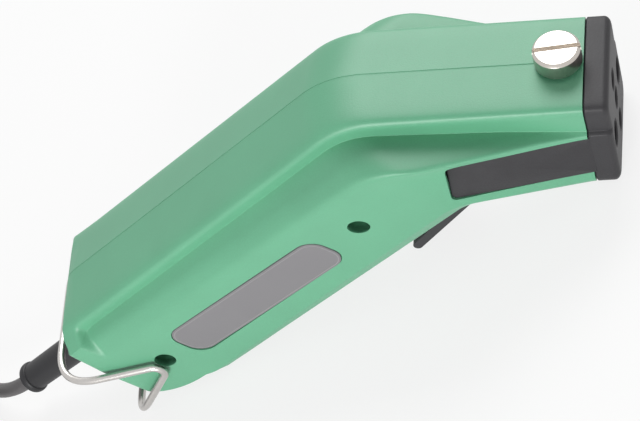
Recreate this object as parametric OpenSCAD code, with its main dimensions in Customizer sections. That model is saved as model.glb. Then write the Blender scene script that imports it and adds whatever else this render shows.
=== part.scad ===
// Electric hot knife. Device frame: X along the nose, Y to the left, Z up, origin where spine lines meet.

/* [Housing] */
// angle between nose and grip
bend = 41.5; // [38:0.5:45]
// spine corner to the rear face
grip_length = 176; // [172:1:180]
// spine corner to the front edge of the shell
nose_length = 89.3; // [87:0.1:92]
// wall under the spine and over the belly
wall = 2.5; // [2:0.1:3]
// wall of the flanks
side_wall = 3.2; // [3:0.1:3.8]

/* [Nose] */
// thickness of the black cap
cap_thick = 9.2; // [8:0.1:11]
// bore of each blade socket
socket_d = 5; // [4:0.1:6]
// depth of each blade socket
socket_depth = 22; // [16:1:24]
// height of the upper socket below the nose top
socket_up = 11.5; // [11:0.1:12.5]
// height of the lower socket below the nose top
socket_low = 34.3; // [33:0.1:35]
// clamping screw behind the front edge of the shell
clamp_in = 8.8; // [7.3:0.1:11.3]
// clamping screw head
head_d = 17.6; // [15:0.1:18.5]
// clamping screw travel
clamp_travel = 0.8; // [0.6:0.1:1]
// running gap of pins in bores, on the radius
run = 0.05; // [0.03:0.01:0.08]

/* [Trigger] */
// pivot distance behind the spine corner
pivot_back = 6; // [5:0.5:7]
// pivot depth below the spine
pivot_down = 51; // [50:0.5:52]
// pivot pin
pin_d = 4; // [3:0.1:5]
// width of the lever
lever_w = 26; // [22:1:28]

/* [Rear] */
// cord sleeve depth below the spine
sleeve_down = 30.6; // [30:0.1:31]
// sleeve length behind the rear face
sleeve_len = 60; // [40:1:60]
// cord outside
cord_d = 6; // [5.5:0.1:6.4]
// wire of the hanging loop
wire_d = 3; // [2.6:0.1:3.4]

/* [Hidden] */
$fn = 48;

clamp_x = nose_length - clamp_in;
// Resting pose: nose edge and the lower bar of the loop touch the floor.
cap_front = nose_length + cap_thick;
nose_low = -44;
bar_back = grip_length + 11;
bar_down = 52.5;
bar = [-cos(bend) * bar_back + sin(bend) * bar_down, -sin(bend) * bar_back - cos(bend) * bar_down];
toe = [cap_front - 1.2, nose_low];
span = toe - bar;
pitch = atan2(span[1], span[0]) + asin((wire_d / 2 - 0.4) / norm(span));
function low(p) = -p[0] * sin(pitch) + p[1] * cos(pitch);
function fore(p) = p[0] * cos(pitch) + p[1] * sin(pitch);
lift = wire_d / 2 - low(bar);
tail = [-cos(bend) * (grip_length + sleeve_len) + sin(bend) * (sleeve_down - 6.6),
  -sin(bend) * (grip_length + sleeve_len) - cos(bend) * (sleeve_down - 6.6)];
slide = -(fore([cap_front, -3.1]) + fore(tail)) / 2;

module placed() {
  translate([slide, 0, lift]) rotate([0, pitch, 0]) children();
}
// Grip frame: X forward along the grip, Z up, so a point t back and d down is (-t, y, -d).
module grip() {
  placed() rotate([0, -bend, 0]) children();
}
// The transformer, its terminals and the cord clamp keep their distance from the rear face.
drawn_grip = 176;
module aft() {
  grip() translate([drawn_grip - grip_length, 0, 0]) children();
}
// A cylinder along Y between two Y values, at t back and d down in the grip.
module across(t, d, r, y0, y1) {
  translate([-t, y0, -d]) rotate([-90, 0, 0]) cylinder(r = r, h = y1 - y0);
}
// A box in the grip from t0 to t1 back, y0 to y1, d0 to d1 down.
module gbox(t0, t1, y0, y1, d0, d1) {
  translate([-t1, y0, -d1]) cube([t1 - t0, y1 - y0, d1 - d0]);
}
// A box in the nose.
module nbox(x0, x1, y0, y1, z0, z1) {
  translate([x0, y0, z0]) cube([x1 - x0, y1 - y0, z1 - z0]);
}

// Rails along the shell, spine to belly: corner x and z, rear depth, front z, corner rounding.
rails = [
  [-4.6, 0, 0, 0, 14], [-1.9, -0.3, 2, -0.3, 14], [-0.9, -0.9, 3.1, -0.9, 14],
  [-0.4, -3.2, 5.2, -3.2, 13], [0.6, -9.6, 9.8, -13.8, 12], [8.5, -9.9, 12.6, -14.4, 12],
  [13.5, -10.6, 21, -15, 12], [20.7, -16.4, 27, -16.4, 12], [37.5, -40.3, 57, -40.4, 7],
  [43.5, -43.3, 61, -43.4, 6], [45.5, -44, 62, -44, 5]];
// Half width of each rail by station: grip stations are negative, nose stations positive.
widths = [
  [[-176, 0], [90, 0]],
  [[-176, 17.4], [-165, 17.2], [-150, 17], [-14, 17], [14, 17.6], [90, 18.2]],
  [[-176, 22.6], [-167, 22], [-155, 21.6], [-14, 21.4], [0, 21.2], [14, 21.2], [90, 21.4]],
  [[-176, 24.4], [-167, 24.2], [-160, 23.9], [-14, 23.8], [0, 23], [14, 22.4], [90, 22.1]],
  [[-176, 30], [-167, 29.8], [-164, 23.4], [-160, 22.8], [-14, 22.4], [0, 21.6], [14, 20.9],
    [60, 20.8], [90, 21.4]],
  [[-176, 30.2], [-167, 30], [-164, 26.9], [-60, 28.5], [-14, 31.3], [0, 32], [14, 31.6],
    [30, 30.4], [60, 24.6], [80, 22], [90, 22.1]],
  [[-176, 30.2], [-120, 31.8], [-60, 33.8], [-14, 36.8], [0, 38], [14, 38.1], [26, 36],
    [50, 30.8], [70, 25.8], [90, 22.4]],
  [[-176, 30.4], [-120, 31.9], [-60, 33.6], [-14, 36], [0, 36.4], [14, 34.6], [28, 31.3],
    [90, 22.5]],
  [[-176, 29], [-100, 29.8], [-50, 31], [-14, 32.4], [0, 32], [14, 30.8], [90, 22.3]],
  [[-176, 26], [-130, 27], [-50, 27.6], [0, 27.6], [14, 27], [90, 20.8]],
  [[-176, 0], [90, 0]]];
stations = [-176, -175.3, -173, -170, -167, -164, -160, -155, -149, -143, -136, -120, -95, -70,
  -45, -28, -14, -10, -6, -2, 2, 6, 10, 14, 20, 28, 38, 50, 62, 74, 83, 90];
back = [-cos(bend), -sin(bend)];
down = [sin(bend), -cos(bend)];
function mix(a, b, k) = a + (b - a) * k;
function rear_at(i) = back * grip_length + down * rails[i][2];
function turn_at(i) = [rails[i][0], rails[i][1]];
function front_at(i) = [nose_length, rails[i][3]];
function toward(a, b, s) = a + (b - a) * s / norm(b - a);
function into(i) = toward(turn_at(i), rear_at(i), rails[i][4]);
function out_of(i) = toward(turn_at(i), front_at(i), rails[i][4]);
function bow(a, b, c, k) = a * (1 - k) * (1 - k) + b * 2 * k * (1 - k) + c * k * k;
function path(i, q) = q < -14 ? mix(rear_at(i), into(i), (q + 176) / 162)
  : q > 14 ? mix(out_of(i), front_at(i), (q - 14) / 76)
  : bow(into(i), turn_at(i), out_of(i), (q + 14) / 28);
function root(v) = sqrt(max(0, v));
// Rounded top of the rear end, and the heel below it.
function top_at(t) = let (u = t - grip_length + 14) u < 0 ? -90 : 12 * (1 - root(1 - pow(u / 14, 2))) - 0.3;
function ease(k) = k * k * (3 - 2 * k);
function heel_at(t) = let (u = t - grip_length + 26) u < -14 ? 90
  : u < 0 ? mix(62, 56.5, ease((u + 14) / 14)) : 42 + 14.5 * root(1 - pow(u / 26, 2));
function held(p, t, d) = back * t + down * min(max(d, top_at(t)), heel_at(t));
function shaped(p, q) = q > -100 ? p : held(p, p * back, p * down);
function round_end(t) = let (u = t - grip_length + 3) u < 0 ? 0 : 3 - root(9 - u * u);
function wide(i, q) = max(0, lookup(q, widths[i]) - (q > -100 ? 0 : round_end(path(i, q) * back)));
// The spine and belly rails reach past the seam, and the seam cut takes that off.
over = 2;
function seam(i) = i == 0 || i == 10;
function skin(i, q) = let (p = shaped(path(i, q), q)) [p[0], seam(i) ? over : -wide(i, q), p[1]];
// Inner wall: rails used, how far each moves toward the belly, and how far inward.
inner = [[0, 1, 0], [2, 1, 0.9], [4, 1.05, 1], [6, 0.7, 1], [8, -0.6, 1], [10, -1, 0]];
inner_stations = [-172.5, -172, -171, -169, -166.6, -164, -160, -155, -149, -143, -136, -120, -95,
  -70, -45, -28, -14, -10, -6, -2, 2, 6, 10, 14, 20, 28, 38, 50, 62, 74, 83, 90];
function lining(j, q) = let (
    i = inner[j][0],
    p = shaped(path(i, q), q),
    e = shaped(path(10, q), q) - shaped(path(0, q), q),
    n = q > 89 ? [0, -1] : e / norm(e),
    m = p + n * inner[j][1] * wall)
  [m[0], seam(i) ? over : -max(0, wide(i, q) - inner[j][2] * side_wall), m[1]];
NR = len(rails);
NI = len(inner);
MS = len(stations);
function quad(a, b, c, d) = [[a, c, b], [a, d, c]];
function flat(l) = [for (a = l) for (b = a) b];
// The right half as one closed skin: outside, lining, rear, front rim and seam strips.
module half_shell() {
  o = MS * NR;
  outer = [for (q = stations) for (i = [0 : NR - 1]) skin(i, q)];
  inside = [for (q = inner_stations) for (j = [0 : NI - 1]) lining(j, q)];
  out_at = function (m, i) m * NR + i;
  in_at = function (m, j) o + m * NI + j;
  walls = flat([for (m = [0 : MS - 2]) for (i = [0 : NR - 2])
    quad(out_at(m, i), out_at(m, i + 1), out_at(m + 1, i + 1), out_at(m + 1, i))]);
  liner = flat([for (m = [0 : MS - 2]) for (j = [0 : NI - 2])
    quad(in_at(m, j), in_at(m + 1, j), in_at(m + 1, j + 1), in_at(m, j + 1))]);
  hub = 6;
  rear = [for (i = [0 : NR - 1]) let (k = (i + 1) % NR) if (i != hub && k != hub) [hub, i, k]];
  rear_in = [for (j = [1 : NI - 2]) [o, o + j + 1, o + j]];
  z = MS - 1;
  front = flat([for (j = [0 : NI - 2]) let (i = 2 * j) [
    [out_at(z, i), in_at(z, j), out_at(z, i + 1)],
    [out_at(z, i + 1), in_at(z, j), in_at(z, j + 1)],
    [out_at(z, i + 1), in_at(z, j + 1), out_at(z, i + 2)]]]);
  top = flat([for (m = [0 : MS - 2])
    quad(out_at(m, 0), out_at(m + 1, 0), in_at(m + 1, 0), in_at(m, 0))]);
  low = flat([for (m = [0 : MS - 2])
    quad(in_at(m, NI - 1), in_at(m + 1, NI - 1), out_at(m + 1, NR - 1), out_at(m, NR - 1))]);
  behind = quad(out_at(0, 0), in_at(0, 0), in_at(0, NI - 1), out_at(0, NR - 1));
  polyhedron(points = concat(outer, inside),
    faces = concat(walls, liner, rear, rear_in, front, top, low, behind));
}

// Cuts and posts that the two halves share.
post_front = [28.8, 35.9];
post_rear = [grip_length - 25.5, 37.9];
bail_pivot = [grip_length - 16.5, 43.1];
module posts(y0, y1, r) {
  across(post_front[0], post_front[1], r, y0, y1);
  across(post_rear[0], post_rear[1], r, y0, y1);
}
function flank(x) = 22.5 + 0.142 * (nose_length - x);
arm_x = nose_length - 51.1;
arm_top = -16.4;
arm_low = -35.5;
// Arm outline in plan, grown by g all round, for the side given.
module arm(side, g, z0, z1) {
  translate([0, 0, z0]) linear_extrude(z1 - z0) polygon([
    [arm_x - g, side * (flank(arm_x) + 2)], [arm_x - g, side * (flank(arm_x) - 1.6 - g)],
    [nose_length + 0.1, side * (flank(nose_length) - 1.6 - g)],
    [nose_length + 0.1, side * (flank(nose_length) + 2)]]);
}
module common_cuts() {
  // Clamping screw clearances on the seam.
  translate([clamp_x, 0, -4.5]) rotate([0, 0, 45]) cylinder(d = 9.6, h = 6);
  translate([clamp_x, 0, -46]) rotate([0, 0, 45]) cylinder(d = 9.6, h = 7);
}
module grip_cuts() {
  // Trigger slot in the belly, sleeve neck in the rear wall.
  gbox(-0.5, 42.5, -lever_w / 2 - 0.8, lever_w / 2 + 0.8, 54, 66);
  translate([-grip_length - 2, 0, -sleeve_down]) rotate([0, 90, 0]) cylinder(d = 12.4, h = 8);
}
// The right half's shell with its openings cut one after the other.
module half_open() {
  difference() {
    difference() {
      difference() {
        difference() {
          placed() half_shell();
          placed() common_cuts();
        }
        grip() grip_cuts();
      }
      placed() arm(-1, 0.3, arm_low - 0.3, arm_top + 0.3);
    }
    grip() across(bail_pivot[0], bail_pivot[1], wire_d / 2 + run, -36, -26);
  }
}
// Screw heads and the plate are let into the right half only.
module half_right_open() {
  difference() {
    difference() {
      half_open();
      grip() plate_shape(0.3, 1.2);
    }
    grip() posts(-40, -14, 4.25);
  }
}
// Takes off what reaches past the seam.
module to_seam() {
  difference() {
    children();
    translate([-300, 0, -100]) cube([600, 60, 300]);
  }
}
// A screw post at p, out to y, bored for the screw's head or for its thread.
module screw_post(p, y, left) {
  grip() difference() {
    across(p[0], p[1], 5.5, y, -0.1);
    if (!left) across(p[0], p[1], 4.25, -40, -14);
    across(p[0], p[1], 2.1, left ? -14 : -15, 1);
  }
}
// The right half, or with left true the form that is mirrored for the left half.
module half(left) {
  union() {
    union() {
      union() {
        if (left) to_seam() half_open();
        if (!left) to_seam() half_right_open();
        screw_post(post_front, -32.6, left);
      }
      screw_post(post_rear, -29, left);
    }
    // Post for the trigger pin.
    grip() difference() {
      across(pivot_back, pivot_down, 5, -31.4, -14.6);
      across(pivot_back, pivot_down, pin_d / 2 + 0.02, -25, -14);
    }
  }
}
// Rating plate outline on the right flank, grown by g and sunk by s.
plate_t = [47.5, 137];
plate_d = [27.6, 46.2];
module plate_shape(g, s) {
  translate([-(plate_t[0] + plate_t[1]) / 2, -31.6, -(plate_d[0] + plate_d[1]) / 2])
  rotate([5.3, 0, -1.7]) rotate([90, 0, 0])
  translate([0, 0, -s]) linear_extrude(4) {
    square([plate_t[1] - plate_t[0] - 14 + 2 * g, plate_d[1] - plate_d[0] + 2 * g], center = true);
    square([plate_t[1] - plate_t[0] + 2 * g, plate_d[1] - plate_d[0] - 14 + 2 * g], center = true);
    for (a = [-1, 1]) for (b = [-1, 1])
      translate([a * ((plate_t[1] - plate_t[0]) / 2 - 7), b * ((plate_d[1] - plate_d[0]) / 2 - 7)])
      circle(r = 7 + g);
  }
}

module housing_right() {
  color([0.33, 0.66, 0.5]) half(false);
}
module housing_left() {
  color([0.33, 0.66, 0.5]) mirror([0, 1, 0]) half(true);
}

// Black cap: a block with the shell's front outline, rounded in front, with two arms and five holes.
cap_ring = [[0, 0], [cap_thick - 2.4, 0], [cap_thick - 0.9, 0.7], [cap_thick, 2.4]];
function cap_pt(i, k) = let (p = front_at(i), w = lookup(90, widths[i]), c = cap_ring[k][1])
  [nose_length + 0.3 + cap_ring[k][0] * (cap_thick - 0.3) / cap_thick,
    w - (w > 0 ? c * min(1, w / 16) : 0), p[1] + c * (-22 - p[1]) / 22];
module cap_body() {
  n = NR;
  loop = concat([for (i = [0 : n - 1]) i], [for (i = [n - 2 : -1 : 1]) -i]);
  L = len(loop);
  pts = [for (k = [0 : 3]) for (a = loop) let (p = cap_pt(abs(a), k)) [p[0], a < 0 ? p[1] : -p[1], p[2]]];
  sides = [for (k = [0 : 2]) for (a = [0 : L - 1])
    [k * L + a, k * L + (a + 1) % L, (k + 1) * L + (a + 1) % L, (k + 1) * L + a]];
  tris = flat([for (s = sides) [[s[0], s[2], s[1]], [s[0], s[3], s[2]]]]);
  polyhedron(points = pts, faces = concat(tris, [[for (a = [0 : L - 1]) a],
    [for (a = [L - 1 : -1 : 0]) 3 * L + a]]));
}
module nose_cap() {
  color([0.09, 0.09, 0.1]) placed() {
    difference() {
      cap_body();
      for (z = [-socket_up, -21.8, -socket_low])
        translate([nose_length - 1, 0, z]) rotate([0, 90, 0]) cylinder(d = 8, h = cap_thick + 3);
      for (y = [-14.4, 14.4])
        translate([nose_length - 1, y, -23.9]) rotate([0, 90, 0]) cylinder(d = 10, h = cap_thick + 3);
    }
    for (side = [-1, 1]) translate([0, 0, arm_low]) linear_extrude(arm_top - arm_low) polygon([
      [arm_x, side * (flank(arm_x) + 0.2)], [arm_x, side * (flank(arm_x) - 1.5)],
      [nose_length + 1.5, side * (flank(nose_length) - 1.5)],
      [nose_length + 1.5, side * (flank(nose_length) - 0.2)],
      [nose_length, side * (flank(nose_length) + 0.2)]]);
  }
}

module rating_plate() {
  color([0.52, 0.53, 0.55]) grip() intersection() {
    plate_shape(0, 1);
    translate([-(plate_t[0] + plate_t[1]) / 2, -31.6, -(plate_d[0] + plate_d[1]) / 2])
      rotate([5.3, 0, -1.7]) translate([-60, -0.3, -20]) cube([120, 1.2, 40]);
  }
}

module housing_screws() {
  color([0.62, 0.62, 0.64]) grip() for (p = [post_front, post_rear]) {
    across(p[0], p[1], 3.7, -16.8, -14);
    across(p[0], p[1], 1.95, -15, 12);
  }
}

// Slotted clamping screw standing on +Z, head underside at the origin.
module clamp_screw(d, h, shank) {
  difference() {
    union() {
      cylinder(d = d, h = h - 1);
      translate([0, 0, h - 1]) cylinder(d1 = d, d2 = d - 2, h = 1);
      translate([0, 0, -1.5]) cylinder(d = 9, h = 1.6);
      translate([0, 0, -shank]) cylinder(d = 5, h = shank);
    }
    rotate([0, 0, 5]) translate([-d, -1, h - 2.2]) cube([2 * d, 2, 4]);
    translate([0, 0, -shank - 1]) cylinder(d = 2 + 2 * run, h = 3.6);
  }
}
rise = clamp_travel + 0.4;
module clamp_screw_upper() {
  color([0.8, 0.78, 0.74]) placed() translate([clamp_x, 0, rise])
    clamp_screw(head_d, 7.2, rise + socket_up - socket_d / 2 - 2.6);
}
module clamp_screw_lower() {
  color([0.8, 0.78, 0.74]) placed() translate([clamp_x, 0, -44 - rise]) rotate([180, 0, 0])
    clamp_screw(12, 3.4, rise + 44 - socket_low - socket_d / 2 - 2.6);
}
module pad() {
  cylinder(d = 4.6, h = 2.4);
  translate([0, 0, 2.3]) cylinder(d = 2, h = 2.6);
}
module clamp_pad_upper() {
  color([0.78, 0.62, 0.3]) placed() translate([clamp_x, 0, -socket_up + socket_d / 2 + 0.1]) pad();
}
module clamp_pad_lower() {
  color([0.78, 0.62, 0.3]) placed() translate([clamp_x, 0, -socket_low - socket_d / 2 - 0.1])
    rotate([180, 0, 0]) pad();
}

// Copper blocks with the blade sockets, each with a lug behind the carrier.
lug_x = nose_length - 39.3;
module electrode(z, dir, lug0, lug1) {
  difference() {
    union() {
      translate([lug_x + 2, 0, z]) rotate([0, 90, 0]) cylinder(d = 12, h = nose_length - lug_x - 2);
      nbox(lug_x, lug_x + 7, -6, 6, lug0, lug1);
    }
    translate([nose_length - socket_depth, 0, z]) rotate([0, 90, 0])
      cylinder(d = socket_d, h = socket_depth + 1);
    translate([clamp_x, 0, z]) rotate([dir > 0 ? 0 : 180, 0, 0]) cylinder(d = 5 + 2 * run, h = 8);
  }
}
module electrode_upper() {
  color([0.72, 0.45, 0.3]) placed() electrode(-socket_up, 1, -26, -9);
}
module electrode_lower() {
  color([0.72, 0.45, 0.3]) placed() electrode(-socket_low, -1, -36, -28);
}
module insulator_carrier() {
  color([0.88, 0.86, 0.8]) placed() difference() {
    nbox(lug_x + 9, lug_x + 17, -16.4, 16.4, -38.6, -4.4);
    for (z = [-socket_up, -socket_low])
      translate([lug_x + 8, 0, z]) rotate([0, 90, 0]) cylinder(d = 12.1, h = 10);
  }
}

// Copper bars beside the winding, bent at the knee, each with a cross piece to its electrode lug.
module bar_strip(z, y0, y1) {
  t = (-cos(bend) * 28 - z) / sin(bend);
  k = back * t + down * 28;
  a = back * (grip_length - 72) + down * 28;
  b = [lug_x + 7, z];
  u = (k - a) / norm(k - a);
  n = [-u[1], u[0]] * 2;
  m = [0, 2];
  s = (n + m) * 4 / (norm(n + m) * norm(n + m)) * 2;
  translate([0, y1, 0]) rotate([90, 0, 0]) linear_extrude(y1 - y0)
    polygon([a - n, k - s, b - m, b + m, k + s, a + n]);
}
module secondary_bars() {
  color([0.72, 0.45, 0.3]) placed() {
    bar_strip(-22, -24.6, -21.6);
    nbox(lug_x + 1, lug_x + 6, -22, -6.1, -24, -20);
    bar_strip(-31, 21.6, 24.6);
    nbox(lug_x + 1, lug_x + 6, 6.1, 22, -33, -29);
  }
}

// Transformer: laminated core, sheet bracket, bobbin and winding.
module transformer_core() {
  color([0.36, 0.36, 0.38]) aft() difference() {
    gbox(68.2, 117.8, -14, 14, 16, 51);
    gbox(78, 108, -15, 15, 21.5, 28.5);
    gbox(78, 108, -15, 15, 38.5, 45.5);
  }
}
module core_bracket() {
  color([0.6, 0.61, 0.63]) aft() difference() {
    union() {
      gbox(66.4, 68, -26.8, 26.8, 25, 49.6);
      gbox(118, 119.6, -25.6, 25.6, 25, 49.6);
    }
    for (y = [-23.1, 23.1]) gbox(60, 70, y - 2.2, y + 2.2, 24, 31);
  }
}
module coil_bobbin() {
  color([0.85, 0.83, 0.76]) aft() difference() {
    union() {
      gbox(78.3, 107.7, -15.1, 15.1, 27.4, 39.6);
      gbox(78.3, 79.5, -21, 21, 21.8, 45.2);
      gbox(106.5, 107.7, -21, 21, 21.8, 45.2);
    }
    gbox(70, 115, -14.2, 14.2, 28.3, 38.7);
  }
}
module primary_winding() {
  color([0.65, 0.36, 0.18]) aft() difference() {
    gbox(79.7, 106.3, -21, 21, 22, 45);
    gbox(70, 115, -15.2, 15.2, 27.3, 39.7);
  }
}
module thermal_cutout() {
  color([0.75, 0.72, 0.66]) aft() gbox(88, 100, 21.2, 24.4, 33, 41);
}
module terminal_block() {
  color([0.9, 0.88, 0.82]) aft() difference() {
    gbox(119.8, 134, -11, 11, 26, 53.6);
    for (y = [-5, 5]) translate([-127, y, -34]) cylinder(d = 4, h = 9);
  }
}
module switch_leads() {
  color([0.2, 0.25, 0.5]) grip() {
    for (y = [-3, 3]) translate([56.4 - grip_length, y, -52.6]) rotate([0, 90, 0])
      cylinder(d = 1.8, h = grip_length - 96.6);
    for (y = [-1.6, 1.6]) translate([18.2 - grip_length, y, -29.4]) rotate([0, 90, 0])
      cylinder(d = 2, h = 23.6);
  }
}

// Snap switch above the trigger.
plunger_t = 26;
module switch_body() {
  color([0.14, 0.14, 0.15]) grip() difference() {
    gbox(12, 40, -5, 5, 42.6, 53.6);
    translate([-plunger_t, 0, -54]) cylinder(d = 3.2 + 2 * run, h = 9);
  }
}
module switch_plunger() {
  color([0.75, 0.2, 0.15]) grip() translate([-plunger_t, 0, -57]) cylinder(d = 3.2, h = 8);
}

// Trigger: hub on the pin, front wall through the belly slot, long lever with a rounded end.
module trigger_lever() {
  color([0.1, 0.1, 0.11]) grip() difference() {
    union() {
      across(pivot_back, pivot_down, 4.6, -lever_w / 2, lever_w / 2);
      rotate([90, 0, 0]) linear_extrude(lever_w, center = true) {
        polygon([[-2.2, -51], [-2.2, -68], [-3.2, -71], [-5.6, -72.7], [-10, -73.5], [-45, -77.8],
          [-45.4, -74.2], [-11, -69.9], [-8.4, -68.6], [-7.4, -66.5], [-7.4, -51]]);
        translate([-45.2, -76]) circle(r = 1.81);
      }
      gbox(24.4, 27.6, -4, 4, 57.2, 73);
      translate([-36, 0, -74]) cylinder(d = 4, h = 5);
    }
    across(pivot_back, pivot_down, pin_d / 2 + run, -20, 20);
    gbox(7.6, 12, -6, 6, 44, 57);
  }
}
module trigger_pin() {
  color([0.75, 0.75, 0.77]) grip() across(pivot_back, pivot_down, pin_d / 2, -24.6, 24.6);
}

// A round wire or tube through a list of points, with flat ends or closed on itself.
function tube_ring(pts, m, r, sides, ref, closed) = let (
    n = len(pts),
    a = pts[closed ? (m + n - 1) % n : max(0, m - 1)],
    b = pts[closed ? (m + 1) % n : min(n - 1, m + 1)],
    u = (b - a) / norm(b - a),
    s = cross(u, ref) / norm(cross(u, ref)),
    c = cross(s, u))
  [for (k = [0 : sides - 1]) pts[m] + r * (s * cos(k * 360 / sides) + c * sin(k * 360 / sides))];
module tube(pts, r, sides, ref, closed) {
  n = len(pts);
  v = flat([for (m = [0 : n - 1]) tube_ring(pts, m, r, sides, ref, closed)]);
  walls = flat([for (m = [0 : closed ? n - 1 : n - 2]) for (k = [0 : sides - 1]) let (
      a = m * sides + k, b = m * sides + (k + 1) % sides,
      e = (m + 1) % n * sides + k, g = (m + 1) % n * sides + (k + 1) % sides)
    [[a, b, g], [a, g, e]]]);
  caps = closed ? [] : [[for (k = [sides - 1 : -1 : 0]) k], [for (k = [0 : sides - 1]) (n - 1) * sides + k]];
  polyhedron(points = v, faces = concat(walls, caps));
}
// Rounded corners: each corner is [point, rounding length].
function soft(cs, steps, closed) = let (n = len(cs)) flat([for (m = [0 : n - 1]) let (
    p = cs[m][0], l = cs[m][1],
    a = toward(p, cs[(m + n - 1) % n][0], l), b = toward(p, cs[(m + 1) % n][0], l))
  !closed && (m == 0 || m == n - 1) ? [p] : [for (k = [0 : steps]) bow(a, p, b, k / steps)]]);

spring_turns = 6;
module trigger_spring() {
  color([0.7, 0.7, 0.72]) grip() translate([-36, 0, -72.3]) tube([for (k = [0 : spring_turns * 12])
    [3.1 * cos(k * 30), 3.1 * sin(k * 30), 18 * k / (spring_turns * 12)]], 0.4, 6, [0, 0, 1], false);
}

// Cord clamp inside the rear, its screws, and the sleeve.
module cord_clamp() {
  color([0.15, 0.15, 0.16]) aft() difference() {
    gbox(156.4, 167.4, -13, 13, sleeve_down - 7, sleeve_down + 7);
    translate([-168, 0, -sleeve_down]) rotate([0, 90, 0]) cylinder(d = cord_d + 0.4, h = 13);
    for (y = [-8.5, 8.5]) translate([-163.3, y, -50]) cylinder(d = 3.3, h = 40);
  }
}
module cord_clamp_screws() {
  color([0.62, 0.62, 0.64]) aft() for (y = [-8.5, 8.5]) translate([-163.3, y, -sleeve_down]) {
    translate([0, 0, -8]) cylinder(d = 3, h = 15.2);
    translate([0, 0, 7.1]) cylinder(d = 5.5, h = 2);
  }
}
module strain_relief() {
  color([0.2, 0.2, 0.21]) grip() translate([0, 0, -sleeve_down]) rotate([0, -90, 0]) rotate_extrude()
    polygon([[cord_d / 2 + 0.25, grip_length - 7], [8, grip_length - 7], [8, grip_length - 3.8],
      [6, grip_length - 3.8], [6, grip_length + 0.4],
      [6.6, grip_length + 0.4], [6.4, grip_length + 4], [5.7, grip_length + sleeve_len - 4.2],
      [6.5, grip_length + sleeve_len - 3.4], [6.5, grip_length + sleeve_len - 0.6],
      [5.9, grip_length + sleeve_len], [cord_d / 2 + 0.25, grip_length + sleeve_len]]);
}

// Hanging loop: one closed wire with a hairpin at each flank, where a stub enters the pivot hole.
function at(t, d, y) = [-t, y, -d];
bail_y = 32.8;
bail_top = grip_length + 16.4;
bail_bend = grip_length - 22.1;
bail_corners = [
  [at(bail_top, 16.8, -bail_y), 18], [at(bail_bend, 36, -bail_y), 2.6], [at(bail_bend, 41.2, -bail_y), 2.6],
  [at(bar_back, bar_down, -bail_y), 14], [at(bar_back, bar_down, bail_y), 14],
  [at(bail_bend, 41.2, bail_y), 2.6], [at(bail_bend, 36, bail_y), 2.6], [at(bail_top, 16.8, bail_y), 18]];
module hanging_bail() {
  color([0.78, 0.76, 0.74]) grip() {
    tube(soft(bail_corners, 6, true), wire_d / 2, 10, [1, 0, 0], true);
    for (s = [-1, 1])
      across(bail_pivot[0], bail_pivot[1], wire_d / 2, s > 0 ? 26.3 : -bail_y, s > 0 ? bail_y : -26.3);
  }
}

// Cord in the resting frame, on the floor: out of the sleeve, then to the coil's first turn.
function rest(t, d) = let (p = back * t + down * d) [fore(p) + slide, 0, low(p) + lift];
route = [[-162, 0.5, 12.4], [-170, 2.7, 10.9], [-178, 6.6, 9.4], [-186, 12.3, 8], [-194, 19.6, 6.8],
  [-202, 25.7, 5.8], [-210, 30.1, 5.1], [-218, 32.7, 4.6], [-226, 33.6, 4.4], [-234, 33.6, 4.3],
  [-248, 33.6, 4.3]];
cord_path = concat([for (t = [-17.8, 0, 18, 36, 50, 60]) rest(grip_length + t, sleeve_down)], route);
module cord() {
  color([0.22, 0.22, 0.23]) tube(cord_path, cord_d / 2, 12, [0, 1, 0.2], false);
}

// Coil: four layers, in and out by turns, climbing a layer in the half turn where it reverses.
coil_at = [-256, -10.8];
coil_out = 44.4;
coil_pitch = 7.5;
layer_turns = 2.625;
coil_floor = 4.3;
function coil_turn(s) = let (k = floor(s / (layer_turns + 0.5)), u = s - k * (layer_turns + 0.5),
    inward = k % 2 == 0, v = min(u, layer_turns), c = max(0, u - layer_turns) * 2,
    r = inward ? coil_out - coil_pitch * v : coil_out - coil_pitch * (layer_turns - v),
    a = 90 + 360 * s)
  [coil_at[0] + r * cos(a), coil_at[1] + r * sin(a), coil_floor + coil_pitch * (k + ease(c))];
coil_total = 4 * layer_turns + 1.5;
coil_top = coil_floor + 3 * coil_pitch;
coil_path = concat([[-248.2, 33.6, coil_floor]],
  [for (k = [0 : 24 * coil_total]) coil_turn(k / 24)],
  [[-268, 33.6, 26.2], [-278, 33.4, 25.2], [-288, 32.6, 22.4], [-298, 31, 18.4], [-308, 28.6, 14],
    [-317, 25.8, 10.4], [-325, 23.6, 8.4], [-331, 22.4, 7.4], [-336, 22, 7.2]]);
coil_gap = min([for (a = [0 : 2 : len(coil_path) - 14]) min([for (b = [a + 12 : len(coil_path) - 1])
  norm(coil_path[a] - coil_path[b])])]) - cord_d;
echo(coil_gap = coil_gap);
module cord_coil() {
  color([0.22, 0.22, 0.23]) tube(coil_path, cord_d / 2, 6, [0, 0, 1], false);
}
module cord_tie() {
  r0 = coil_out - coil_pitch * layer_turns - 4;
  r1 = coil_out + 3.6;
  color([0.1, 0.1, 0.11]) translate([coil_at[0], coil_at[1], 0]) rotate([0, 0, 180]) difference() {
    translate([r0 - 1, -4, 0.1]) cube([r1 - r0 + 2, 8, coil_top + 4.4]);
    translate([r0, -5, 1]) cube([r1 - r0, 10, coil_top + 2.6]);
  }
}
// Flat two-pin plug on the floor at the end of the cord.
module plug_body() {
  color([0.2, 0.2, 0.21]) translate([-336.3, 22, 7.2]) rotate([0, -90, 0]) linear_extrude(34) {
    square([13.6, 14], center = true);
    translate([0, 7]) circle(d = 13.6);
    translate([0, -7]) circle(d = 13.6);
  }
}
module plug_pins() {
  color([0.78, 0.76, 0.7]) for (y = [-9.3, 9.3]) translate([-370.4, 22 + y, 7.2]) rotate([0, -90, 0])
    cylinder(d = 4, h = 19);
}

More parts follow.
